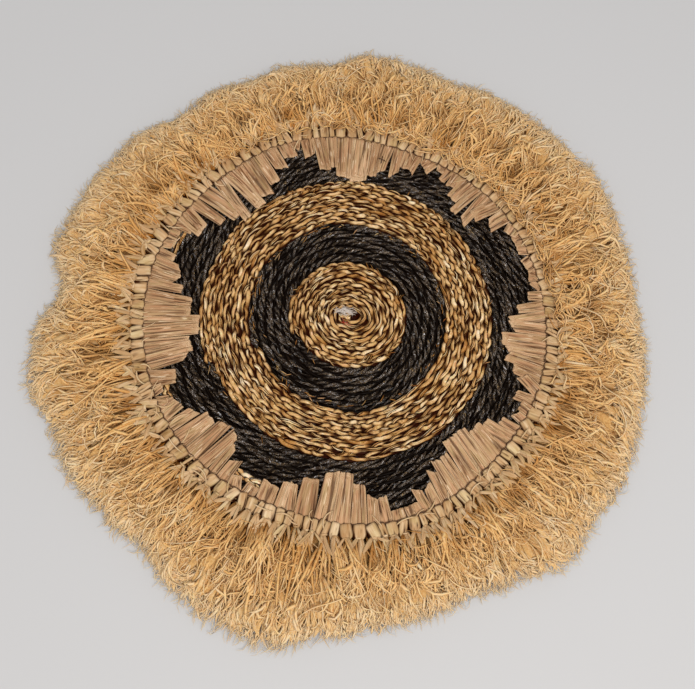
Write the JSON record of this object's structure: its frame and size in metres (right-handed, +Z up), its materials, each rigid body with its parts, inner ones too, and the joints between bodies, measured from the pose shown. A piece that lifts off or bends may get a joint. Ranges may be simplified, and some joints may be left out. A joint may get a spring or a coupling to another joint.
{
  "type": "raffia placemat",
  "caption": "Round placemat of coiled cord in natural and dark rings, with stepped raffia panels round its border and a long, full raffia fringe.",
  "frame": {"origin": "middle of the coil, at the level of the table that the mat lies on", "axes": "+Z up out of the table; +Y towards the top of the picture and +X towards its right"},
  "size_m": [0.495, 0.4939, 0.0232],
  "materials": {
    "natural_cord": "matt plaited grass cord, golden brown",
    "dyed_cord": "twisted grass cord dyed near black, slightly glossy",
    "raffia_panels": "flat raffia ribbon, satin, pinkish beige",
    "raffia_binding": "raffia wrapping, satin, pale straw",
    "raffia_fringe": "loose raffia fibre, matt, straw gold"
  },
  "bodies": {
    "root": {"coil_centre": "natural_cord", "coil_dark_ring": "dyed_cord", "coil_natural_band": "natural_cord", "coil_dark_border": "dyed_cord", "raffia_panel_1": "raffia_panels", "raffia_panel_2": "raffia_panels", "raffia_panel_3": "raffia_panels", "raffia_panel_4": "raffia_panels", "raffia_panel_5": "raffia_panels", "raffia_panel_6": "raffia_panels", "raffia_panel_7": "raffia_panels", "raffia_panel_8": "raffia_panels", "bound_edge": "raffia_binding", "fringe_1": "raffia_fringe", "fringe_2": "raffia_fringe", "fringe_3": "raffia_fringe", "fringe_4": "raffia_fringe", "fringe_5": "raffia_fringe", "fringe_6": "raffia_fringe", "fringe_7": "raffia_fringe", "fringe_8": "raffia_fringe"}
  },
  "joints": []
}
